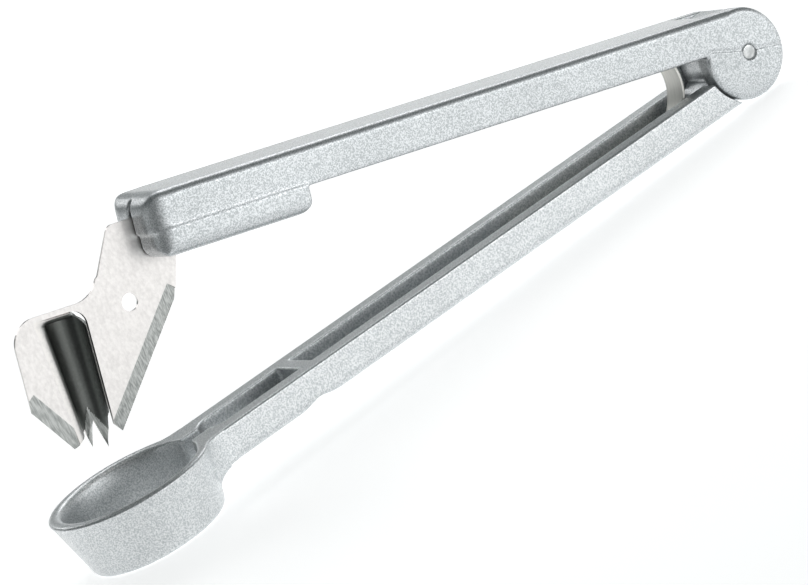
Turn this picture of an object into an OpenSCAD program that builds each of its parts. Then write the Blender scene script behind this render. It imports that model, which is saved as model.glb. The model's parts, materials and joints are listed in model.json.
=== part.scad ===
// Hand plum stoner. Two cast arms turn on a cross pin, a U spring holds them open, and a
// stamped blade under the upper arm's nose goes through the ring cup of the lower arm.
// Millimetres, +Z up, +X from the cup towards the hinge. It stands on the cup and the head.
// Inside an arm's own frame x runs forward from the hinge axis, y across and z up.

/* [Arms] */
// Distance from the hinge axis to the cup's centre
cup_reach = 167; // [145:1:205]
// Width of both arms
arm_w = 18.4; // [16:0.2:23]
// Height of the upper arm's bar
upper_h = 8.2; // [6.8:0.1:10]
// Height of the lower arm's bar
lower_h = 7.3; // [6:0.1:9]
// Radius along the upper arm's top edges
top_edge = 1.7; // [0.8:0.1:2.2]
// Distance from the hinge axis to the side of each bar that faces the other
parting = 1.5; // [1.2:0.1:2]
// Width of the channels along the insides of the arms
channel_w = 9.6; // [8:0.1:11.5]
// Thickness of the metal behind each channel
web_t = 1.8; // [1.5:0.1:2.4]
// Angle between the arms, held open by the spring
open_angle = 14.8; // [12:0.1:18]
// Angle between the arms, squeezed shut
closed_angle = 1.3; // [1.2:0.1:2]

/* [Head] */
// Radius of the two round cheeks of the upper arm
head_r = 9.8; // [9:0.1:12]
// How far the cheeks' centre lies in front of the pin
head_forward = 0.8; // [0:0.1:1]
// How far the cheeks' centre lies below the pin
head_below = 0.15; // [0:0.1:0.6]
// Radius round the rims of the cheeks
cheek_edge = 1.2; // [0.4:0.1:1.6]
// Radius of the lower arm's hub between the cheeks
hub_r = 8.8; // [7.5:0.1:8.9]
// Play between the hub and each cheek
hub_play = 0.15; // [0.1:0.05:0.3]
// Room around the cheeks at the end of the lower arm's walls
cheek_room = 1.3; // [1.2:0.1:2.5]
// How far the round end of those walls is centred in front of the pin
room_forward = 0.55; // [0.4:0.05:1]
// How far it is centred above the pin, which leaves the walls long at the bottom
room_up = 0.85; // [0:0.05:0.9]

/* [Pin] */
// Radius of the hinge pin
pin_r = 1.625; // [1.3:0.025:2.2]
// Running clearance of the hub on the pin
pin_play = 0.05; // [0.02:0.01:0.1]
// How deep the pin's ends lie below the cheeks
pin_recess = 0.25; // [0.1:0.05:0.5]

/* [Nose] */
// Gap between the nose and the cup's rim, seen from above
nose_gap = 3.1; // [2:0.1:6]
// Radius of the nose's two upright corners
nose_r = 4.6; // [4:0.2:8]
// Radius over the nose's top
brow_r = 4; // [1.5:0.1:4.5]
// Length of the boss that carries the blade
boss_len = 35.2; // [28:0.2:42]
// Depth of the boss below the bar's lower side
boss_drop = 5.2; // [4:0.1:5.2]
// How far the boss stands out past the bar on each side
boss_step = 0.25; // [0.15:0.05:0.4]

/* [Cup] */
// Outer radius of the cup's rim
rim_r = 17.9; // [15:0.1:22]
// Wall of the cup at its rim
rim_wall = 2.5; // [2:0.1:3]
// Depth of the cup at its centre
cup_depth = 13.45; // [11:0.05:16]
// How much smaller the cup's outside is at its foot
cup_taper = 3.1; // [2:0.1:4]
// Wall of the cup at its foot
foot_wall = 1.7; // [1.3:0.1:2]
// Width of the slot that lets the blade's rear wing through
slot_w = 4.6; // [3.6:0.1:6]
// Distance from the cup's rim back to the rib across the channel
rib_gap = 24.2; // [20:0.2:28]
// Thickness of the rib
rib_t = 3.2; // [2:0.1:4]

/* [Blade] */
// Thickness of the blade's sheet
blade_t = 0.7; // [0.5:0.05:1]
// Radius of the middle of the stone pusher's half pipe
pipe_r = 4.9; // [4:0.1:5.6]
// Distance from the half pipe's axis back to the cup's centre
pipe_back = 1.3; // [0.5:0.1:2.5]
// Room that the front wing leaves to the cup's foot, inside it
wing_room = 2.8; // [2.5:0.1:4]
// Radius of the round hole in the rear wing
hole_r = 1.8; // [1.2:0.1:2.4]
// Width of the ground bevels
bevel_w = 3; // [2:0.1:3.5]

/* [Spring] */
// Width of the spring strip
strip_w = 6; // [4.6:0.1:7.2]
// How far the spring lies off the middle of the channels
strip_shift = 0.8; // [0:0.1:1]
// Thickness of the spring strip
strip_t = 0.7; // [0.5:0.05:0.9]
// Distance from the hinge axis to the back of the bend
belly = 14.4; // [13.6:0.1:18]
// Length of the straight legs in the channels
leg_len = 34; // [20:1:45]

/* [Hidden] */
$fn = 64;

// Heights in the arms' frames
upper_low = parting;
upper_top = parting + upper_h;
ceiling = upper_top - web_t;
lower_top = -parting;
lower_low = -parting - lower_h;
floor_t = lower_low + web_t;
boss_low = upper_low - boss_drop;

// Lengths in the arms' frames
cup_back = cup_reach - rim_r;
nose = cup_back - nose_gap;
boss_front = nose - 0.6;
boss_back = boss_front - boss_len;
rib_front = cup_back - rib_gap;
hub_w = channel_w - 2 * hub_play;
web_end = hub_r - pin_r + 0.4;
long = 400;

// The arms stand on the cup's foot and on the cheeks
foot_drop = parting + cup_depth;
stand_h = head_r + head_below;
tilt = acos(stand_h / norm([cup_reach, foot_drop])) - atan2(cup_reach, foot_drop);
upper_tilt = tilt + open_angle;
hinge_z = head_r + head_below * cos(upper_tilt) - head_forward * sin(upper_tilt);
cup_front_x = cup_reach * cos(tilt) + rim_r + parting * sin(tilt);
head_back_x = head_r - head_forward * cos(upper_tilt) - head_below * sin(upper_tilt);
hinge_x = (cup_front_x - head_back_x) / 2;
cup_x = hinge_x - cup_reach * cos(tilt) - parting * sin(tilt);
foot_r = rim_r - cup_taper;
bore_rim_r = rim_r - rim_wall;
bore_foot_r = foot_r - foot_wall;

// Blade: heights below the hinge line and lengths from the cup's centre
wing_front = cup_reach + bore_foot_r - wing_room;
pipe_s = cup_reach - pipe_back;
tang_top = 5.2;
wing_top = -7.6;
pipe_top = -9;
pipe_low = -37.3;
rear_edge = [[nose - 5.1, -12.8], [pipe_s - 6.5, -34.5]];
front_edge = [[pipe_s + pipe_r - 0.3, -34.9], [wing_front, -25.4]];

// Spring: one round bend that lies against the lower floor and the upper ceiling
bend_r = (ceiling - floor_t * cos(open_angle) + belly * sin(open_angle))
         / (1 + cos(open_angle) - sin(open_angle));
bend_c = [belly + bend_r, floor_t + bend_r];

// Frames of the two arms
module lower_frame() {
    translate([hinge_x, 0, hinge_z]) rotate([0, tilt, 0]) mirror([1, 0, 0]) children();
}

module upper_frame() {
    translate([hinge_x, 0, hinge_z]) rotate([0, upper_tilt, 0]) mirror([1, 0, 0]) children();
}

// A side view given width, a cross section given length and a plan given height
module side(width) rotate([90, 0, 0]) linear_extrude(width, center = true) children();
module section(from, to) translate([from, 0, 0]) rotate([90, 0, 90]) linear_extrude(to - from) children();
module plan(from, to) translate([0, 0, from]) linear_extrude(to - from) children();

// A cross section with its own corner radius below and above
module rounded(width, low, high, low_r, high_r) {
    translate([-width / 2, low + low_r]) square([width, high - low - low_r - high_r]);
    translate([low_r - width / 2, low]) square([width - 2 * low_r, low_r]);
    translate([high_r - width / 2, high - high_r]) square([width - 2 * high_r, high_r]);
    for (k = [-1, 1]) {
        translate([k * (width / 2 - low_r), low + low_r]) circle(low_r);
        translate([k * (width / 2 - high_r), high - high_r]) circle(high_r);
    }
}

// A plan or side view from one end to the other with round corners at the front
module round_front(from, to, width, r) {
    translate([from, -width / 2]) square([to - from - r, width]);
    translate([to - r - 1, r - width / 2]) square([r + 1, width - 2 * r]);
    for (k = [-1, 1]) translate([to - r, k * (width / 2 - r)]) circle(r);
}

// A disc on the y axis with a small radius round each rim
module cheek_disc(r, width, edge) {
    rotate([90, 0, 0]) rotate_extrude($fn = 96) {
        translate([0, -width / 2]) square([r - edge, width]);
        translate([0, edge - width / 2]) square([r, width - 2 * edge]);
        for (k = [-1, 1]) translate([r - edge, k * (width / 2 - edge)]) circle(edge);
    }
}

// Side view of the space that the cheeks turn in
module cheek_cut() translate([room_forward, room_up]) circle(head_r + cheek_room);

module cross_bore(r, width) rotate([90, 0, 0]) cylinder(r = r, h = width, center = true);

module lower_arm() color("#dfe2e3") difference() {
    union() {
        lower_frame() difference() {
            arm_walls();
            channel();
        }
        lower_frame() hub();
        cup_outside();
        neck_fillet();
    }
    translate([cup_x, 0, -1]) cylinder(r1 = bore_foot_r, r2 = bore_rim_r + 0.3, h = foot_drop + 3, $fn = 96);
    lower_frame() wing_slot();
    // Everything above the rim is cut level with the walls
    lower_frame() translate([cup_reach - 2 * rim_r, -rim_r - 1, lower_top])
        cube([4 * rim_r, 2 * rim_r + 2, rim_r]);
    translate([-long / 2, -rim_r, -rim_r]) cube([long, 2 * rim_r, rim_r]);
}

// The two side walls with the web under them, hollowed round the cheeks
module arm_walls() {
    difference() {
        union() {
            intersection() {
                section(0, cup_reach - foot_r + 2) rounded(arm_w, lower_low, lower_top, 1.8, 0.4);
                side(arm_w) difference() {
                    translate([0, lower_low]) square([cup_reach, lower_h]);
                    finger_notch();
                }
            }
            neck();
        }
        side(arm_w + 1) cheek_cut();
    }
}

// Channel from the hinge to the rib, and the pocket between the rib and the cup
module channel() {
    pocket_end = cup_back - 1 - channel_w / 2;
    plan(floor_t, 1) {
        translate([0, -channel_w / 2]) square([rib_front - rib_t, channel_w]);
        translate([rib_front, -channel_w / 2]) square([pocket_end - rib_front, channel_w]);
        translate([pocket_end, 0]) circle(channel_w / 2);
    }
}

// Shallow grip notch in the lower side, steeper towards the cup
module finger_notch() {
    at = rib_front + 1;
    polygon([[at - 6, lower_low - 1], [at - 6, lower_low], [at - 3.5, lower_low + 0.4], [at - 1, lower_low + 1.1],
        [at, lower_low + 1.2], [at + 1.5, lower_low + 0.9], [at + 4.5, lower_low], [at + 4.5, lower_low - 1]]);
}

// The arm widens into the cup with a hollow radius on each side
module neck() {
    r = 8;
    ring = rim_r - 0.8;
    c = [cup_reach - sqrt(pow(ring + r, 2) - pow(arm_w / 2 + r, 2)), arm_w / 2 + r];
    touch = [cup_reach - (cup_reach - c[0]) * ring / (ring + r), c[1] * ring / (ring + r)];
    plan(lower_low + 0.3, lower_top) difference() {
        polygon([[c[0] - 1, -arm_w / 2], [c[0], -arm_w / 2], [touch[0], -touch[1]], [cup_reach, -touch[1]],
            [cup_reach, touch[1]], [touch[0], touch[1]], [c[0], arm_w / 2], [c[0] - 1, arm_w / 2]]);
        for (k = [-1, 1]) translate([c[0], k * c[1]]) circle(r);
    }
}

// Hollow radius between the arm's lower side and the cup's wall
module neck_fillet() {
    r = 4;
    foot_z = 1.2;
    intersection() {
        translate([cup_x, 0, 0]) rotate_extrude($fn = 96) difference() {
            translate([foot_r - 0.5, foot_z]) square([r + 0.8, r + 0.6]);
            translate([foot_r + 0.3 + r, foot_z]) circle(r);
        }
        lower_frame() section(0, cup_reach) rounded(arm_w, lower_low - 1.1 * r, lower_top, r, 0.4);
    }
}

// The hub between the cheeks, the tongue to the arm and the heel that stops the arms open
module hub() {
    side(hub_w) difference() {
        union() {
            circle(hub_r);
            tongue();
            intersection() {
                rotate(open_angle) square([web_end - 0.05, upper_top]);
                rotate(closed_angle) translate([-5, 0]) square([web_end + 5, upper_top - 0.2]);
            }
        }
        circle(pin_r + pin_play);
    }
    side(channel_w + 1) difference() {
        tongue();
        cheek_cut();
    }
}

// Side view of the root that ties the hub to the web and the walls
module tongue() polygon([[0, lower_low], [belly + 1, lower_low], [belly + 1, floor_t],
    [hub_r + 0.4, lower_top - 0.3], [0, lower_top - 0.3]]);

// Slot through the web and the cup's back for the blade's rear wing
module wing_slot() plan(-foot_drop - 9, 1) {
    translate([rib_front + 9, -slot_w / 2]) square([cup_reach - rib_front - 9, slot_w]);
    translate([rib_front + 9, 0]) circle(slot_w / 2);
}

// Outside of the cup: a cone with a rounded foot, standing upright
module cup_outside() {
    foot_edge = 1;
    rise = (rim_r - foot_r) / cup_depth;
    top = cup_depth + 2;
    translate([cup_x, 0, 0]) rotate_extrude($fn = 96) difference() {
        polygon([[0, 0], [foot_r, 0], [foot_r + rise * top, top], [0, top]]);
        difference() {
            translate([foot_r - foot_edge, -0.1]) square([foot_edge + 1, foot_edge + 0.1]);
            translate([foot_r - foot_edge + 0.15, foot_edge]) circle(foot_edge + 0.03);
        }
    }
}

module upper_arm() color("#d3d8d8") upper_frame() difference() {
    union() {
        intersection() {
            section(0, nose) rounded(arm_w, upper_low, upper_top, 0.5, top_edge);
            plan(0, upper_top) round_front(0, nose, arm_w, nose_r);
            side(arm_w + 1) brow();
        }
        boss();
        translate([head_forward, 0, -head_below]) cheek_disc(head_r, arm_w, cheek_edge);
    }
    upper_hollows();
    blade_slot();
    cross_bore(pin_r, arm_w + 1);
    for (k = [-1, 1]) translate([0, k * (arm_w / 2), 0]) cross_bore(pin_r + 0.25, 2 * pin_recess);
}

// Side view of the bar, with the nose rounded over at the top
module brow() {
    square([nose - brow_r, upper_top]);
    square([nose, upper_top - brow_r]);
    translate([nose - brow_r, upper_top - brow_r]) circle(brow_r);
}

// Boss under the nose, rounded along its lower edges and at both ends
module boss() {
    edge = 2.5;
    intersection() {
        section(boss_back, boss_front) rounded(arm_w + 2 * boss_step, boss_low, upper_low + 0.5, edge, 0.2);
        side(arm_w + 2) {
            translate([boss_back, boss_low + 3]) square([boss_len, 9]);
            translate([boss_back + 3, boss_low]) square([boss_len - 6, 6]);
            for (s = [boss_back + 3, boss_front - 3]) translate([s, boss_low + 3]) circle(3);
        }
        plan(boss_low, upper_top) round_front(boss_back, boss_front, arm_w + 2 * boss_step, nose_r - 0.4);
    }
}

// Channel behind the boss and the fork around the hub
module upper_hollows() {
    plan(-head_r - head_below - 1, ceiling) translate([-head_r, -channel_w / 2])
        square([boss_back - 5 + head_r, channel_w]);
    plan(-head_r - head_below - 1, upper_top + 1) translate([-head_r - 1, -channel_w / 2])
        square([web_end + head_r + 1, channel_w]);
}

// Slot for the blade's tang, with a wider mouth in the nose that narrows upwards
module blade_slot() {
    tang_back = boss_back + 8;
    translate([tang_back, -blade_t / 2, boss_low - 1]) cube([long, blade_t, tang_top - boss_low + 1]);
    section(nose - 2.5, nose + 1) polygon([[-0.75, boss_low - 1], [0.75, boss_low - 1], [0.75, tang_top + 0.3],
        [0.2, upper_top - 1.2], [-0.2, upper_top - 1.2], [-0.75, tang_top + 0.3]]);
}

module blade() color("#e9e7e4") upper_frame() difference() {
    union() {
        side(blade_t) sheet_outline();
        difference() {
            half_pipe();
            pusher_teeth();
        }
    }
    side(4) translate([nose + 4.8, -10.6]) circle(hole_r);
    grind(rear_edge[0], rear_edge[1]);
    grind(front_edge[0], front_edge[1]);
}

// Tang, neck, rear wing and front wing, all in the middle plane, open where the pipe is bent out
module sheet_outline() {
    tang_back = boss_back + 8;
    gap_back = pipe_s - pipe_r - blade_t;
    gap_front = pipe_s + pipe_r - blade_t / 2;
    polygon([[tang_back, tang_top], [nose + 4.6, tang_top], [nose + 5.7, 4.5], [nose + 6.6, 2.9],
        [nose + 10.2, -3.8], [nose + 11.5, -5.9], [nose + 12.6, -6.9], [nose + 14, -7.45],
        [nose + 16, wing_top], [wing_front - 5.9, wing_top], [wing_front - 3.5, -8.15],
        [wing_front - 1.5, -9.4], [wing_front - 0.3, -11], [wing_front, -12.6],
        front_edge[1], front_edge[0], [gap_front, pipe_top], [gap_back, pipe_top], [gap_back, -32.6],
        rear_edge[1], rear_edge[0], [nose - 7.9, boss_low], [tang_back, boss_low + 1]]);
}

// Half pipe that pushes the stone, bent out of the front wing to the far side
module half_pipe() {
    plan(pipe_low, pipe_top) translate([pipe_s, 0]) intersection() {
        difference() {
            circle(pipe_r + blade_t / 2, $fn = 96);
            circle(pipe_r - blade_t / 2, $fn = 96);
        }
        translate([-10, -blade_t / 2]) square([20, 12]);
    }
}

// Two points at the pusher's lower end, and the rounded upper corner of its free edge
module pusher_teeth() {
    side(20) {
        polygon([[pipe_s + 6, -33], [pipe_s + 4.6, -35], [pipe_s + 0.2, -32.2], [pipe_s - 1, pipe_low + 0.9],
            [pipe_s - 2.5, -31.1], [pipe_s - 4.1, pipe_low], [pipe_s - 4.7, -31], [pipe_s - 5.3, -27.5],
            [pipe_s - 6, -27.5], [pipe_s - 6, pipe_low - 2], [pipe_s + 6, pipe_low - 2]]);
        difference() {
            translate([pipe_s - 6, -13.5]) square([3.2, 5]);
            translate([pipe_s - 2.8, -13.5]) circle(3);
        }
    }
}

// Ground bevel on the near side along a cutting edge from p to q
module grind(p, q) {
    run = q - p;
    translate([p[0], 0, p[1]]) rotate([0, -atan2(run[1], run[0]), 0]) section(-1.5, norm(run) + 1.5)
        polygon([[-blade_t / 2 - 0.1, bevel_w + 0.5], [-blade_t / 2, bevel_w], [blade_t / 2 - 0.12, 0],
            [blade_t / 2 - 0.12, -2], [-blade_t / 2 - 0.1, -2]]);
}

module hinge_pin() color("#c9cccd") translate([hinge_x, 0, hinge_z]) {
    len = arm_w - 2 * pin_recess;
    cross_bore(pin_r, len - 0.6);
    for (k = [-1, 1]) translate([0, k * (len / 2 - 0.15), 0]) rotate([-90 * k, 0, 0])
        cylinder(r1 = pin_r, r2 = pin_r - 0.3, h = 0.3, center = true);
}

module spring() color("#d9d7cf") lower_frame() translate([0, -strip_shift, 0]) side(strip_w) {
    bend_s = bend_c[0] * cos(open_angle) + bend_c[1] * sin(open_angle);
    intersection() {
        translate(bend_c) difference() {
            circle(bend_r, $fn = 96);
            circle(bend_r - strip_t, $fn = 96);
        }
        translate(bend_c) polygon([[0, 0], for (a = [89 + open_angle : (182 - open_angle) / 4 : 272])
            3 * bend_r * [cos(a), sin(a)]]);
    }
    translate([bend_c[0], floor_t]) square([leg_len, strip_t]);
    rotate(open_angle) translate([bend_s, ceiling - strip_t]) square([leg_len, strip_t]);
}

lower_arm();
upper_arm();
blade();
hinge_pin();
spring();
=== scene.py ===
"""Hand plum stoner: two die-cast arms on a steel pin, a U spring between them and a stamped blade.

The sections follow the tool as it is put together: lower arm, pin, upper arm, blade, spring.
Inside an arm's own frame s runs forward from the hinge axis, y across and t up, in millimetres.
"""
import json
import math

import bmesh
import bpy
import numpy as np
from mathutils import Matrix, Vector


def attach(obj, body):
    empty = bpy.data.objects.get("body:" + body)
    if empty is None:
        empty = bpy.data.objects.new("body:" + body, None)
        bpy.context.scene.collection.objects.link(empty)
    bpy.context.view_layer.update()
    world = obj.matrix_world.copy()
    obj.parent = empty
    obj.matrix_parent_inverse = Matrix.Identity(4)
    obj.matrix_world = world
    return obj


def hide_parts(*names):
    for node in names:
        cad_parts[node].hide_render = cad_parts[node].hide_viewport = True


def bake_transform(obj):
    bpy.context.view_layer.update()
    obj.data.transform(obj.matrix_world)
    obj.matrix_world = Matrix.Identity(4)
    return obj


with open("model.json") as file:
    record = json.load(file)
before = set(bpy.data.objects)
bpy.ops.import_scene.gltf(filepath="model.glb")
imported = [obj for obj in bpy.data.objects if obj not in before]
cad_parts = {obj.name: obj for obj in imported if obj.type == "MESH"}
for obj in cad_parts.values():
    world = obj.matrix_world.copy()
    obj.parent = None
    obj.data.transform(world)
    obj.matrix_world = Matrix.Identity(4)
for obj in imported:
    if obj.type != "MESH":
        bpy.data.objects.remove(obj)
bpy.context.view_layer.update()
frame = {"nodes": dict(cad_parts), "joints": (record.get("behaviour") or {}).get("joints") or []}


# --- Lower arm -------------------------------------------------------------------------------
# One pressure die casting in aluminium: two walls with a web under them, the ring cup at the
# end and the hub between the cheeks. It is blasted, then sprayed with silver metallic lacquer,
# which rounds every edge by a few tenths of a millimetre.
MM = 0.001
HINGE = Vector(frame["joints"][0]["pos_m"])
LOWER_TILT = math.radians(1.7134)
OPEN_ANGLE = math.radians(14.8)
CAST_VOXEL = 0.27
CAST_SMOOTHING = 5
CAST_FACES = 190_000
WELD_MM = 0.002


def arm_frame(tilt):
    """Matrix from an arm's own frame in millimetres to the row frame in metres."""
    scale = Matrix.Diagonal((-MM, MM, MM, 1))
    return Matrix.Translation(HINGE) @ Matrix.Rotation(tilt, 4, "Y") @ scale


def new_piece(name, mesh):
    """Puts a mesh into the scene under this name."""
    piece = bpy.data.objects.new(name, mesh)
    bpy.context.scene.collection.objects.link(piece)
    return piece


def apply_modifier(piece, kind, **settings):
    """Adds one modifier, keeps its result as the piece's mesh and removes it."""
    modifier = piece.modifiers.new(kind.title(), kind)
    for name, value in settings.items():
        setattr(modifier, name, value)
    graph = bpy.context.evaluated_depsgraph_get()
    mesh = bpy.data.meshes.new_from_object(piece.evaluated_get(graph))
    piece.modifiers.remove(modifier)
    piece.data = mesh


def cast_skin(name, node, tilt):
    """The lacquered skin of a casting: the CAD node with its edges rounded, in its arm's frame."""
    mesh = frame["nodes"][node].data.copy()
    mesh.transform(arm_frame(tilt).inverted())
    mesh.flip_normals()
    work = bmesh.new()
    work.from_mesh(mesh)
    bmesh.ops.remove_doubles(work, verts=work.verts, dist=WELD_MM)
    work.to_mesh(mesh)
    work.free()
    mesh.materials.clear()
    piece = new_piece(name, mesh)
    apply_modifier(piece, "REMESH", mode="VOXEL", voxel_size=CAST_VOXEL, use_smooth_shade=True)
    apply_modifier(piece, "SMOOTH", factor=0.5, iterations=CAST_SMOOTHING)
    return piece


def settle(piece, tilt):
    """Thins the mesh where it is flat and puts it from its arm's frame into the row frame."""
    triangles = 2 * len(piece.data.polygons)
    apply_modifier(piece, "DECIMATE", ratio=min(1, CAST_FACES / triangles))
    piece.data.transform(arm_frame(tilt))
    piece.data.flip_normals()
    piece.data.shade_smooth()


def points(piece):
    """The piece's points, one row of s, y and t each."""
    flat = np.zeros(len(piece.data.vertices) * 3)
    piece.data.vertices.foreach_get("co", flat)
    return flat.reshape(-1, 3)


def put_points(piece, skin):
    """Moves the piece's points to the rows of an array that points() gave."""
    piece.data.vertices.foreach_set("co", skin.ravel())
    piece.data.update()


def rise(values, start, length):
    """0 before start, 1 beyond start + length, straight between. A negative length runs downward."""
    return np.clip((values - start) / length, 0, 1)


def linear(hex_colour):
    """sRGB hex to the linear colour that a shader takes."""
    parts = [int(hex_colour[i:i + 2], 16) / 255 for i in (1, 3, 5)]
    return (*[p / 12.92 if p <= 0.04045 else ((p + 0.055) / 1.055) ** 2.4 for p in parts], 1)


def add_node(tree, kind, links=None, **settings):
    """Adds a shader node. settings are its properties or the values of its inputs."""
    node = tree.nodes.new("ShaderNode" + kind)
    for name, value in settings.items():
        if hasattr(node, name):
            setattr(node, name, value)
    for name, value in settings.items():
        if not hasattr(node, name):
            node.inputs[name.replace("_", " ")].default_value = value
    for socket, source in (links or {}).items():
        tree.links.new(source, node.inputs[socket])
    return node


def per_mm(size):
    """Texture scale in metres for a pattern whose grains are this many millimetres wide."""
    return 1 / (size * MM)


def new_material(name):
    """An empty material and its node tree."""
    material = bpy.data.materials.new(name)
    material.use_nodes = True
    material.node_tree.nodes.clear()
    return material, material.node_tree


def finish_material(tree, shader):
    """Gives the tree its output, fed by the shader."""
    output = add_node(tree, "OutputMaterial")
    tree.links.new(shader.outputs["BSDF"], output.inputs["Surface"])


def colour_ramp(tree, source, stops):
    """Colour for a value, from (place, sRGB hex) stops."""
    ramp = add_node(tree, "ValToRGB", {"Fac": source})
    elements = ramp.color_ramp.elements
    while len(elements) < len(stops):
        elements.new(1)
    for element, (place, colour) in zip(elements, stops):
        element.position = place
        element.color = linear(colour)
    return ramp.outputs["Color"]


FLAKE_MM = 0.29
CLOUD_MM = 14


def silver_lacquer(name, light, dark):
    """Silver metallic lacquer over blasted die-cast aluminium. The flakes give a fine sparkling
    grain, and the clear binder a soft gloss. Real flakes are too fine to show, so they are drawn
    at about 0.3 mm."""
    material, tree = new_material(name)
    where = add_node(tree, "TexCoord").outputs["Object"]
    flakes = add_node(tree, "TexNoise", {"Vector": where}, Scale=per_mm(FLAKE_MM), Detail=2.0,
                      Roughness=0.6)
    cloud = add_node(tree, "TexNoise", {"Vector": where}, Scale=per_mm(CLOUD_MM), Detail=2.0)
    colour = colour_ramp(tree, flakes.outputs["Fac"], [(0.41, dark), (0.59, light)])
    tone = add_node(tree, "MapRange", {"Value": cloud.outputs["Fac"]}, From_Min=0.3, From_Max=0.7,
                    To_Min=0.95, To_Max=1.03)
    toned = add_node(tree, "VectorMath", {0: colour}, operation="SCALE")
    tree.links.new(tone.outputs["Result"], toned.inputs["Scale"])
    rough = add_node(tree, "MapRange", {"Value": flakes.outputs["Fac"]}, From_Min=0.35, From_Max=0.65,
                     To_Min=0.46, To_Max=0.36)
    bump = add_node(tree, "Bump", {"Height": flakes.outputs["Fac"]}, Strength=0.5, Distance=0.06 * MM)
    shader = add_node(tree, "BsdfPrincipled", {
        "Base Color": toned.outputs["Vector"], "Roughness": rough.outputs["Result"],
        "Normal": bump.outputs["Normal"]}, Metallic=0.9, Coat_Weight=0.5, Coat_Roughness=0.18)
    finish_material(tree, shader)
    return material


CUP_S = 167
RIM_MIDDLE, RIM_HALF = 16.65, 1.35
RIM_TOP = -1.5
RIM_CROWN = 0.55
CROWN_REACH = 1.3
CROWN_LOW, CROWN_FADE = 1.8, 1.4
NECK_BACK, NECK_FADE = 14, 3

# s, y and t are views of the skin's columns, so what is done to them is done to the skin.
lower = cast_skin("lower_casting", "lower_arm", LOWER_TILT)
skin = points(lower)
s, y, t = skin.T
off_middle = (np.hypot(s - CUP_S, y) - RIM_MIDDLE) / RIM_HALF
crown = RIM_CROWN * (1 - np.sqrt(1 - np.clip(off_middle, -1, 1) ** 2))
near_top = rise(t, RIM_TOP - CROWN_LOW, CROWN_FADE)
past_neck = rise(s, CUP_S - NECK_BACK, NECK_FADE)
t -= crown * near_top * past_neck * (np.abs(off_middle) < CROWN_REACH)
put_points(lower, skin)
settle(lower, LOWER_TILT)
lacquer = silver_lacquer("silver lacquer on die-cast aluminium, lower", "#ebedee", "#bdc2c4")
lower.data.materials.append(lacquer)
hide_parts("lower_arm")
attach(lower, "lower_lever")


# --- Hinge pin -------------------------------------------------------------------------------
# A plain pin cut from drawn steel rod and pressed through both cheeks. Its ends are faced on a
# lathe, lie just below the cheeks' faces and have a small turned edge.
PIN_R = 1.625
PIN_HALF = 8.95
PIN_EDGE = 0.35
PIN_DOME = 0.08
PIN_FACE_R = 0.6
PIN_SIDES = 48


def solid(name, work, materials=()):
    """Makes a piece from a closed bmesh, with its faces turned outward."""
    bmesh.ops.recalc_face_normals(work, faces=work.faces)
    mesh = bpy.data.meshes.new(name)
    work.to_mesh(mesh)
    work.free()
    for material in materials:
        mesh.materials.append(material)
    return new_piece(name, mesh)


def lathe(name, profile, sides):
    """A piece turned about the y axis of its arm's frame, from (radius, y) points."""
    work = bmesh.new()
    rings = []
    for r, y in profile:
        if r == 0:
            rings.append([work.verts.new((0, y, 0))])
            continue
        angles = [2 * math.pi * k / sides for k in range(sides)]
        rings.append([work.verts.new((r * math.cos(a), y, r * math.sin(a))) for a in angles])
    for low, high in zip(rings, rings[1:]):
        for k in range(sides):
            corners = [low[k % len(low)], low[(k + 1) % len(low)],
                       high[(k + 1) % len(high)], high[k % len(high)]]
            work.faces.new(list(dict.fromkeys(corners)))
    return solid(name, work)


def drawn_steel(name):
    """Drawn steel rod with faced ends: bright, with slightly blurred reflections and a faint stain."""
    material, tree = new_material(name)
    where = add_node(tree, "TexCoord").outputs["Object"]
    stain = add_node(tree, "TexNoise", {"Vector": where}, Scale=per_mm(1.2), Detail=4.0)
    colour = colour_ramp(tree, stain.outputs["Fac"], [(0.35, "#b9bcbc"), (0.65, "#e6e7e7")])
    bump = add_node(tree, "Bump", {"Height": stain.outputs["Fac"]}, Strength=0.3, Distance=0.03 * MM)
    shader = add_node(tree, "BsdfPrincipled", {"Base Color": colour, "Normal": bump.outputs["Normal"]},
                      Metallic=1.0, Roughness=0.28)
    finish_material(tree, shader)
    return material


edge = [(PIN_R - PIN_EDGE * (1 - math.cos(a)), PIN_HALF - PIN_EDGE * (1 - math.sin(a)))
        for a in np.linspace(0, math.pi / 2, 6)]
half = edge + [(PIN_FACE_R, PIN_HALF + PIN_DOME - 0.01), (0, PIN_HALF + PIN_DOME)]
pin = lathe("steel_hinge_pin", [(r, -y) for r, y in reversed(half)] + half, PIN_SIDES)
pin.data.transform(arm_frame(LOWER_TILT))
pin.data.flip_normals()
pin.data.shade_smooth()
pin.data.materials.append(drawn_steel("drawn steel"))
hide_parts("hinge_pin")
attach(pin, "upper_lever")


# --- Upper arm -------------------------------------------------------------------------------
# The second die casting, lacquered like the first, though its copy of the lacquer is drawn darker as
# painted shade: a bar with a channel underneath, two round cheeks that fork round the hub, and a boss
# under the nose that grips the blade. The die parts across the cheeks, where it leaves a fine groove with
# both halves sloping in from it.
UPPER_TILT = LOWER_TILT + OPEN_ANGLE
SIDE_Y = 9.2
DRAFT = math.tan(math.radians(1.3))
DRAFT_END, DRAFT_FADE = 26, 14
GROOVE_DEEP, GROOVE_HALF = 0.32, 0.36
GROOVE_END, GROOVE_FADE = 10.5, 1
SIDE_DEPTH, SIDE_FADE = 1.2, 0.8
BROW_S, BROW_Y, BROW_T = 138, 1, 2.5
BROW_FADE_S, BROW_FADE_Y, BROW_FADE_T = 3, 1, 2
BROW_SOFTENING = 60
PART_LINE = [(-12, -0.4), (-8.8, -0.3), (-2, 0.2), (4.8, 1.4), (9.25, 2.36), (12, 1.5), (150, 1.5)]


def line_height(line, s):
    """Height at s of a line through (s, t) points."""
    return np.interp(s, *zip(*line))


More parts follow.
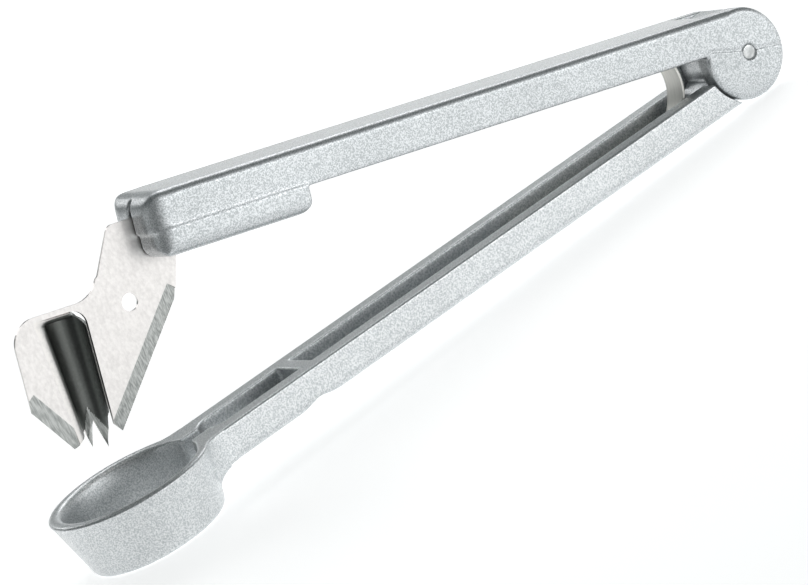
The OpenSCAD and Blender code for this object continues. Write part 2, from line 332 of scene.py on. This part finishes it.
upper = cast_skin("upper_casting", "upper_arm", UPPER_TILT)
skin = points(upper)
s, y, t = skin.T
off_line = np.abs(t - line_height(PART_LINE, s))
outside = rise(np.abs(y), SIDE_Y - SIDE_DEPTH, SIDE_FADE)
fade = rise(s, DRAFT_END, -DRAFT_FADE)
groove = GROOVE_DEEP * rise(off_line, GROOVE_HALF, -GROOVE_HALF) * rise(s, GROOVE_END, -GROOVE_FADE)
y -= np.sign(y) * outside * (DRAFT * off_line * fade + groove)
put_points(upper, skin)
soft = rise(s, BROW_S, BROW_FADE_S) * rise(t, BROW_T, BROW_FADE_T) * rise(np.abs(y), BROW_Y, BROW_FADE_Y)
brow = upper.vertex_groups.new(name="brow")
for index in np.flatnonzero(soft):
    brow.add([int(index)], float(soft[index]), "REPLACE")
apply_modifier(upper, "SMOOTH", factor=0.5, iterations=BROW_SOFTENING, vertex_group="brow")
upper.vertex_groups.clear()
settle(upper, UPPER_TILT)
# This copy of the lacquer is darker than the lower arm's: painted shade, not a different paint.
lacquer = silver_lacquer("silver lacquer on die-cast aluminium, upper", "#dfe2e4", "#b0b5b7")
upper.data.materials.append(lacquer)
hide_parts("upper_arm")
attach(upper, "upper_lever")


# --- Blade -----------------------------------------------------------------------------------
# Stainless sheet, stamped to shape, with a half pipe pressed out of it to push the stone. Its
# edges are ground on the near side, and the tang is held in the boss of the upper arm.
SHEET_T = 0.7
PIPE_NEAR, PIPE_FAR = -0.36, 4.2
# The third steel is the pipe's sheet with painted shade, darker the deeper it lies in the pipe.
ROLLED, GROUND, DRAWN = 0, 1, 2


def rolled_steel(name):
    """Cold-rolled stainless sheet: a bright satin face, faintly mottled where it was pickled."""
    material, tree = new_material(name)
    where = add_node(tree, "TexCoord").outputs["Object"]
    stretched = add_node(tree, "VectorMath", {0: where}, operation="MULTIPLY")
    stretched.inputs[1].default_value = (1.0, 1.0, 0.7)
    marks = add_node(tree, "TexNoise", {"Vector": stretched.outputs["Vector"]},
                     Scale=per_mm(0.6), Detail=5.0)
    colour = colour_ramp(tree, marks.outputs["Fac"], [(0.3, "#d7d4d2"), (0.7, "#e9e6e4")])
    bump = add_node(tree, "Bump", {"Height": marks.outputs["Fac"]}, Strength=0.15, Distance=0.02 * MM)
    shader = add_node(tree, "BsdfPrincipled", {"Base Color": colour, "Normal": bump.outputs["Normal"]},
                      Metallic=1.0, Roughness=0.3)
    finish_material(tree, shader)
    return material


def ground_steel(name):
    """The same steel where the grindstone ran over it: greyer, with scratches across the edge.
    Real ones are finer, and are drawn about 0.3 mm wide to show."""
    material, tree = new_material(name)
    where = add_node(tree, "TexCoord").outputs["Object"]
    stretched = add_node(tree, "VectorMath", {0: where}, operation="MULTIPLY")
    stretched.inputs[1].default_value = (1.0, 1.0, 0.12)
    marks = add_node(tree, "TexNoise", {"Vector": stretched.outputs["Vector"]},
                     Scale=per_mm(0.3), Detail=3.0)
    colour = colour_ramp(tree, marks.outputs["Fac"], [(0.35, "#979a98"), (0.62, "#c8cac8")])
    bump = add_node(tree, "Bump", {"Height": marks.outputs["Fac"]}, Strength=0.4, Distance=0.04 * MM)
    shader = add_node(tree, "BsdfPrincipled", {"Base Color": colour, "Normal": bump.outputs["Normal"]},
                      Metallic=1.0, Roughness=0.4)
    finish_material(tree, shader)
    return material


def drawn_sheet(name):
    """The same steel inside the pipe, dulled where the punch drew it. Its colour is painted darker towards
    the bottom of the pipe, as painted shade.
    """
    material, tree = new_material(name)
    where = add_node(tree, "TexCoord").outputs["Object"]
    marks = add_node(tree, "TexNoise", {"Vector": where}, Scale=per_mm(0.6), Detail=3.0)
    # Painted shade: the colour runs from light at the mouth of the pipe to dark at its bottom.
    depth = add_node(tree, "SeparateXYZ", {"Vector": where}).outputs["Y"]
    shade = add_node(tree, "MapRange", {"Value": depth}, From_Min=PIPE_NEAR * MM, From_Max=PIPE_FAR * MM)
    uneven = add_node(tree, "MapRange", {"Value": marks.outputs["Fac"]}, From_Min=0.3, From_Max=0.7,
                      To_Min=-0.05, To_Max=0.05)
    total = add_node(tree, "Math", {0: shade.outputs["Result"], 1: uneven.outputs["Result"]},
                     operation="ADD")
    colour = colour_ramp(tree, total.outputs["Value"], [(0.0, "#e6e3e0"), (0.3, "#a9acab"),
                                                        (0.6, "#747775"), (1.0, "#545654")])
    bump = add_node(tree, "Bump", {"Height": marks.outputs["Fac"]}, Strength=0.2, Distance=0.02 * MM)
    shader = add_node(tree, "BsdfPrincipled", {"Base Color": colour, "Normal": bump.outputs["Normal"]},
                      Metallic=1.0, Roughness=0.32)
    finish_material(tree, shader)
    return material


STEELS = [rolled_steel("rolled stainless sheet"), ground_steel("ground stainless edge"),
          drawn_sheet("stainless sheet with painted pipe shade")]


def prism(name, outline, half_width):
    """A straight-sided solid through the tool, from an outline in side view."""
    work = bmesh.new()
    near = [work.verts.new((s, -half_width, t)) for s, t in outline]
    far = [work.verts.new((s, half_width, t)) for s, t in outline]
    work.faces.new(near)
    work.faces.new(list(reversed(far)))
    for k in range(len(outline)):
        j = (k + 1) % len(outline)
        work.faces.new([near[k], far[k], far[j], near[j]])
    return solid(name, work, STEELS)


def cut(piece, cutter):
    """Takes the cutter's solid out of the piece. The new faces keep the cutter's steel."""
    apply_modifier(piece, "BOOLEAN", operation="DIFFERENCE", solver="EXACT", object=cutter)
    bpy.data.objects.remove(cutter)


BEVEL_W = 3
LAND = 0.1
OVERRUN = 2


def grindstone(start, end, width):
    """Wedge that grinds a bevel of this width along an edge of the flat sheet, on the near side."""
    along = (Vector(end) - Vector(start)).normalized()
    across = Vector((-along.y, along.x))
    face_y = SHEET_T / 2 - LAND
    profile = [(-SHEET_T / 2, width), (face_y, 0), (face_y, -OVERRUN),
               (-OVERRUN, -OVERRUN), (-OVERRUN, width)]
    work = bmesh.new()
    ends = []
    for middle in (Vector(start) - OVERRUN * along, Vector(end) + OVERRUN * along):
        ring = [(middle + across * reach, y) for y, reach in profile]
        ends.append([work.verts.new((p.x, y, p.y)) for p, y in ring])
    work.faces.new(ends[0])
    work.faces.new(list(reversed(ends[1])))
    for k in range(len(profile)):
        j = (k + 1) % len(profile)
        work.faces.new([ends[0][k], ends[1][k], ends[1][j], ends[0][j]])
    for face in work.faces:
        face.material_index = GROUND
    return solid("grindstone", work, STEELS)


def arc(centre, radius, start, end, steps):
    """Points on an arc, with its angles in degrees."""
    return [(centre[0] + radius * math.cos(a), centre[1] + radius * math.sin(a))
            for a in np.radians(np.linspace(start, end, steps + 1))]


NOSE_S = 146.0
BOSS_BACK = 110.2
TANG_TOP, TANG_LOW = 5.2, -2.7
WING_FRONT, WING_TOP = 177.3, -7.6
REAR_EDGE = [(NOSE_S - 5.1, -12.8), (159.2, -34.5)]
FRONT_EDGE = [(170.3, -34.9), (WING_FRONT, -25.4)]
HOLE = (NOSE_S + 4.8, -10.6)
HOLE_R = 1.8
HOLE_CUT, TEETH_CUT = 3, 12
SHOULDER, SHOULDER_R = (150.2, 3.2), 2.0
SADDLE, SADDLE_R = (162.2, -1.6), 6.0
WING_CORNER_R = 5.4
OPEN_BACK, OPEN_TOP = 160.85, -8.7
PIPE_BACK, PIPE_Y = 160.5, 0.45
PIPE_R, BEND_R = (4.65, 3.4), (3.0, 2.0)
PIPE_LOW = -38
PIPE_STEP = 0.3
BEND_STEPS, PIPE_STEPS = 16, 44
OPEN_R = 3.2
CORNER_R, CORNER_DROP = 3.4, 3.9
SWELL, SWELL_STEPS = 1.6, 14
TOOTH_T = -34.5
TEETH = [(173.5, -30.5), (172.3, -32.2), (170.25, -35.0), (165.9, -32.25), (164.65, -36.3), (163.15, -31.1),
         (161.6, -37.1), (161.0, -31.0), (160.4, -27.6), (158.5, -27.6), (158.5, -40), (173.5, -40)]
RIDGE = [(160.5, -34.2), (161.85, -31.6), (163.7, -28.0), (165.3, -31.0), (166.2, -33.2), (173, -50)]
GROUND_SLOPE, GROUND_LEFT = 0.16, 0.08
SHARP_FROM = math.radians(8)


def bend_line(t):
    """At height t: the pipe's radius, its bend's radius, its axis and where the flat wing ends."""
    down = np.clip((OPEN_TOP - t) / (OPEN_TOP - FRONT_EDGE[0][1]), 0, 1)
    r, bend = (top + (low - top) * down for top, low in (PIPE_R, BEND_R))
    return r, bend, PIPE_BACK + r, PIPE_BACK + r + np.sqrt((bend + r) ** 2 - (bend - PIPE_Y) ** 2)


sheet_top = (arc(SHOULDER, SHOULDER_R, 90, 25, 5) + [(156.2, -3.8)] + arc(SADDLE, SADDLE_R, 205, 270, 8)
             + arc((WING_FRONT - WING_CORNER_R, WING_TOP - WING_CORNER_R), WING_CORNER_R, 90, 0, 10))
outline = ([(BOSS_BACK + 8, TANG_TOP)] + sheet_top + [FRONT_EDGE[1], FRONT_EDGE[0]]
           + [(bend_line(TOOTH_T)[3], TOOTH_T), (bend_line(OPEN_TOP)[3], OPEN_TOP)]
           + arc((OPEN_BACK + OPEN_R, OPEN_TOP - OPEN_R), OPEN_R, 90, 180, 8)
           + [(OPEN_BACK, -32.6), REAR_EDGE[1], REAR_EDGE[0]]
           + [(NOSE_S - 7.9, -3.7), (BOSS_BACK + 8, TANG_LOW)])
blade = prism("stamped_blade", outline, SHEET_T / 2)
for start, end in (REAR_EDGE, FRONT_EDGE):
    cut(blade, grindstone(start, end, BEVEL_W))
cut(blade, prism("hole", arc(HOLE, HOLE_R, 0, 350, 35), HOLE_CUT))

# The formed half: the sheet rolls away from the front wing, round the pipe, to its free edge.
swelling = np.linspace(OPEN_TOP, OPEN_TOP - SWELL, SWELL_STEPS)
heights = np.concatenate([swelling, np.arange(OPEN_TOP - SWELL - PIPE_STEP, PIPE_LOW, -PIPE_STEP)])
swell = np.clip((OPEN_TOP - heights) / SWELL, 0, 1)
swell = swell * swell * (3 - 2 * swell)
middle = np.zeros((BEND_STEPS + PIPE_STEPS + 1, len(heights), 3))
for j, t in enumerate(heights):
    r, bend, axis_s, flat_s = bend_line(t)
    join = math.degrees(math.atan2(PIPE_Y - bend, axis_s - flat_s))
    above_corner = min(max(t - OPEN_TOP + CORNER_DROP, 0), CORNER_R)
    free_s = PIPE_BACK + CORNER_R - math.sqrt(CORNER_R ** 2 - above_corner ** 2) + 0.01
    free_edge = math.degrees(math.acos((free_s - axis_s) / r))
    rolled = arc((flat_s, bend), bend, 270, join + 360, BEND_STEPS)
    middle[:, j, :2] = rolled + arc((axis_s, PIPE_Y), r, join + 180, free_edge, PIPE_STEPS)[1:]
    middle[:, j, 1] *= swell[j]
middle[:, :, 2] = heights
across = np.gradient(middle, axis=0)
down = np.gradient(middle, axis=1)
normal = np.cross(across, down)
normal /= np.linalg.norm(normal, axis=2, keepdims=True)
ridge_t = line_height(RIDGE, middle[:, :, 0])
ground_off = np.clip(GROUND_SLOPE * (ridge_t - middle[:, :, 2]), 0, SHEET_T - GROUND_LEFT)
near_side = middle + normal * (SHEET_T / 2 - ground_off[:, :, None])
far_side = middle - normal * (SHEET_T / 2)
work = bmesh.new()
sides = [[[work.verts.new(p) for p in row] for row in side] for side in (near_side, far_side)]
rows, columns = middle.shape[:2]
for side in (0, 1):
    for i in range(rows - 1):
        for j in range(columns - 1):
            v = sides[side]
            face = work.faces.new([v[i][j], v[i + 1][j], v[i + 1][j + 1], v[i][j + 1]])
            if side == 0:
                # Near faces in the pipe take the steel with painted shade, unless they are ground.
                face.material_index = GROUND if ground_off[i:i + 2, j:j + 2].min() > 0 else DRAWN
rim = [(i, 0) for i in range(rows)] + [(rows - 1, j) for j in range(1, columns)]
rim += [(i, columns - 1) for i in range(rows - 2, -1, -1)] + [(0, j) for j in range(columns - 2, 0, -1)]
for (i, j), (m, n) in zip(rim, rim[1:] + rim[:1]):
    face = work.faces.new([sides[0][i][j], sides[0][m][n], sides[1][m][n], sides[1][i][j]])
    # The end face of the free edge takes the painted pipe shade too, so it shows dark.
    face.material_index = DRAWN if i == m == rows - 1 else ROLLED
pipe = solid("formed_pipe", work, STEELS)
cut(pipe, prism("teeth", TEETH, TEETH_CUT))

work = bmesh.new()
work.from_mesh(blade.data)
work.from_mesh(pipe.data)
work.to_mesh(blade.data)
work.free()
bpy.data.objects.remove(pipe)
blade.data.transform(arm_frame(UPPER_TILT))
blade.data.flip_normals()
blade.data.shade_smooth()
blade.data.set_sharp_from_angle(angle=SHARP_FROM)
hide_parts("blade")
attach(blade, "upper_lever")


# --- Spring ----------------------------------------------------------------------------------
# One strip of rolled spring steel, bent once round to a U. Its legs lie in the channels of the
# arms and its bend shows just in front of the hinge. The slit edges are rounded by tumbling.
STRIP_W, STRIP_T = 6.0, 0.7
STRIP_Y = -0.8
STRIP_EDGE = 0.22
LEG, LEG_POINTS = 34, 12
LOOP_C, LOOP_R = (25.12, 3.72), 10.72
LOOP_STEPS = 40


def strip_section(steps):
    """Closed outline (y, off the middle plane) of a strip with rounded slit edges."""
    section = []
    for k, (side, face) in enumerate([(1, 1), (-1, 1), (-1, -1), (1, -1)]):
        centre = (side * (STRIP_W / 2 - STRIP_EDGE), face * (STRIP_T / 2 - STRIP_EDGE))
        section += arc(centre, STRIP_EDGE, 90 * k, 90 * k + 90, steps)
    return section


opened = math.degrees(OPEN_ANGLE)
middle_r = LOOP_R - STRIP_T / 2
loop = arc(LOOP_C, middle_r, 270, 90 + opened, LOOP_STEPS)
lower_leg = [(s, loop[0][1]) for s in np.linspace(LOOP_C[0] + LEG, LOOP_C[0], LEG_POINTS)[:-1]]
upper_leg = [(loop[-1][0] + r * math.cos(OPEN_ANGLE), loop[-1][1] + r * math.sin(OPEN_ANGLE))
             for r in np.linspace(0, LEG, LEG_POINTS)[1:]]
line = np.array(lower_leg + loop + upper_leg)
along = np.gradient(line, axis=0)
along /= np.linalg.norm(along, axis=1, keepdims=True)
work = bmesh.new()
rings = []
for (s, t), (ds, dt) in zip(line, along):
    rings.append([work.verts.new((s - dt * off, STRIP_Y + y, t + ds * off)) for y, off in strip_section(4)])
for low, high in zip(rings, rings[1:]):
    for k in range(len(low)):
        j = (k + 1) % len(low)
        work.faces.new([low[k], low[j], high[j], high[k]])
work.faces.new(rings[0])
work.faces.new(list(reversed(rings[-1])))
spring = solid("spring_strip", work)
spring.data.transform(arm_frame(LOWER_TILT))
spring.data.flip_normals()
spring.data.shade_smooth()


def spring_strip_steel(name):
    """Tempered spring strip: a warm grey sheen with fine lines along the strip from the rolls.
    Real ones are finer, and are drawn about 0.35 mm wide to show."""
    material, tree = new_material(name)
    where = add_node(tree, "TexCoord").outputs["Object"]
    stretched = add_node(tree, "VectorMath", {0: where}, operation="MULTIPLY")
    stretched.inputs[1].default_value = (0.05, 1.0, 0.05)
    marks = add_node(tree, "TexNoise", {"Vector": stretched.outputs["Vector"]},
                     Scale=per_mm(0.35), Detail=3.0)
    colour = colour_ramp(tree, marks.outputs["Fac"], [(0.3, "#e6e5df"), (0.7, "#f5f4ee")])
    bump = add_node(tree, "Bump", {"Height": marks.outputs["Fac"]}, Strength=0.2, Distance=0.02 * MM)
    shader = add_node(tree, "BsdfPrincipled", {"Base Color": colour, "Normal": bump.outputs["Normal"]},
                      Metallic=0.35, Roughness=0.42)
    finish_material(tree, shader)
    return material


spring.data.materials.append(spring_strip_steel("tempered spring steel"))
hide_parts("spring")
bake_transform(spring)


# --- Floor, light and camera -----------------------------------------------------------------
# A light table: white laminate lit from within. Soft boxes stand high behind to the right, in front,
# and behind for the cup and the nose. A dim room and a black card give the edges their grey lines.
def studio_floor():
    """Matt white laminate over the lamps of a light table."""
    material, tree = new_material("white studio laminate")
    where = add_node(tree, "TexCoord").outputs["Object"]
    cloud = add_node(tree, "TexNoise", {"Vector": where}, Scale=per_mm(220), Detail=2.0)
    colour = colour_ramp(tree, cloud.outputs["Fac"], [(0.3, "#f2f3f3"), (0.7, "#f7f7f7")])
    shader = add_node(tree, "BsdfPrincipled", {"Base Color": colour, "Emission Color": colour},
                      Roughness=0.75, Emission_Strength=0.75)
    finish_material(tree, shader)
    return material


bpy.ops.mesh.primitive_plane_add(size=8)
floor = bpy.context.object
floor.name = "studio_floor"
floor.data.materials.append(studio_floor())

world = bpy.data.worlds.new("studio")
bpy.context.scene.world = world
world.use_nodes = True
tree = world.node_tree
tree.nodes.clear()
direction = add_node(tree, "TexCoord").outputs["Generated"]
height = add_node(tree, "SeparateXYZ", {"Vector": direction}).outputs["Z"]
sky = colour_ramp(tree, height, [(0.0, "#ffffff"), (0.09, "#eef0f0"), (0.2, "#848888"), (0.6, "#4c5050"),
                                 (0.72, "#505454"), (0.9, "#7c8080"), (1.0, "#888c8c")])
background = add_node(tree, "Background", {"Color": sky}, Strength=1.0)
output = add_node(tree, "OutputWorld")
tree.links.new(background.outputs["Background"], output.inputs["Surface"])


def soft_box(name, place, size, power):
    """Area light aimed at the middle of the tool."""
    data = bpy.data.lights.new(name, "AREA")
    data.shape = "RECTANGLE"
    data.size, data.size_y = size
    data.energy = power
    lamp = bpy.data.objects.new(name, data)
    bpy.context.scene.collection.objects.link(lamp)
    lamp.location = place
    lamp.visible_camera = False
    lamp.rotation_euler = (Vector((0, 0, 0.03)) - Vector(place)).to_track_quat("-Z", "Y").to_euler()


def black_card(name, place, size):
    """Upright black card that faces the tool. It only shows in the metal, as in a real studio."""
    bpy.ops.mesh.primitive_plane_add(size=1)
    card = bpy.context.object
    card.name = name
    card.scale = (*size, 1)
    card.location = place
    card.rotation_euler = (Vector((0, 0, 0.05)) - Vector(place)).to_track_quat("-Z", "Y").to_euler()
    card.visible_camera = False
    card.data.materials.append(black_felt)


black_felt, tree = new_material("black felt")
where = add_node(tree, "TexCoord").outputs["Object"]
fibres = add_node(tree, "TexNoise", {"Vector": where}, Scale=per_mm(3))
black = colour_ramp(tree, fibres.outputs["Fac"], [(0.3, "#0c0c0c"), (0.7, "#161616")])
finish_material(tree, add_node(tree, "BsdfPrincipled", {"Base Color": black}, Roughness=1.0))

soft_box("top_soft_box", (0.7, 0.5, 0.75), (0.7, 0.7), 3.2)
soft_box("front_soft_box", (0.45, -1.0, 0.1), (1.2, 0.2), 2.2)
soft_box("cup_soft_box", (0.1, 0.36, 0.46), (0.12, 0.12), 0.18)
soft_box("nose_soft_box", (-0.09, 0.69, 0.42), (0.3, 0.2), 0.42)
black_card("left_card", (-0.36, -0.2, 0.06), (0.4, 0.12))

CAMERA_AZIMUTH = math.radians(26.23)
CAMERA_ELEVATION = math.radians(15.46)
CAMERA_ROLL = math.radians(29.35)
CAMERA_DISTANCE = 0.9911
CAMERA_LENS, CAMERA_NEAR = 208, 0.05
AIM_RIGHT, AIM_UP = 0.0682, 0.0507

look = Vector((math.sin(CAMERA_AZIMUTH) * math.cos(CAMERA_ELEVATION),
               math.cos(CAMERA_AZIMUTH) * math.cos(CAMERA_ELEVATION), -math.sin(CAMERA_ELEVATION)))
level = Vector((math.cos(CAMERA_AZIMUTH), -math.sin(CAMERA_AZIMUTH), 0))
right = level * math.cos(CAMERA_ROLL) - level.cross(look) * math.sin(CAMERA_ROLL)
up = right.cross(look)
camera = bpy.data.objects.new("camera", bpy.data.cameras.new("camera"))
bpy.context.scene.collection.objects.link(camera)
turned = Matrix((right, up, -look)).transposed().to_4x4()
eye = HINGE - right * AIM_RIGHT - up * AIM_UP - look * CAMERA_DISTANCE
camera.matrix_world = Matrix.Translation(eye) @ turned
camera.data.lens = CAMERA_LENS
camera.data.clip_start = CAMERA_NEAR
bpy.context.scene.camera = camera
bpy.context.scene.view_settings.view_transform = "Standard"
